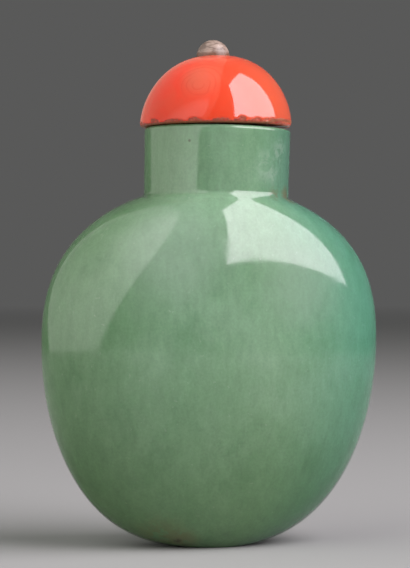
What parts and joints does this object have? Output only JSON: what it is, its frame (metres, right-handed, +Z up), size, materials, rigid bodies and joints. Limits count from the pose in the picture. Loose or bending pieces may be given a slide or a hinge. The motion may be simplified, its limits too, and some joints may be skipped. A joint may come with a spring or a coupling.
{
  "type": "snuff bottle",
  "caption": "Flattened egg-shaped jadeite snuff bottle with a round neck and a domed coral stopper set with a pearl; holds powder and stands on a small flat foot.",
  "frame": {"origin": "under the flat foot, midway across the body at its widest level", "axes": "+Z up along the bottle, +Y through its thin depth with the broad front facing -Y, +X across its width"},
  "size_m": [0.0456, 0.027, 0.0665],
  "materials": {
    "jadeite": "polished",
    "coral": "polished",
    "pearl": "gloss"
  },
  "bodies": {
    "root": {"bottle": "jadeite", "stopper_cap": "coral", "stopper_pearl": "pearl"}
  },
  "joints": []
}
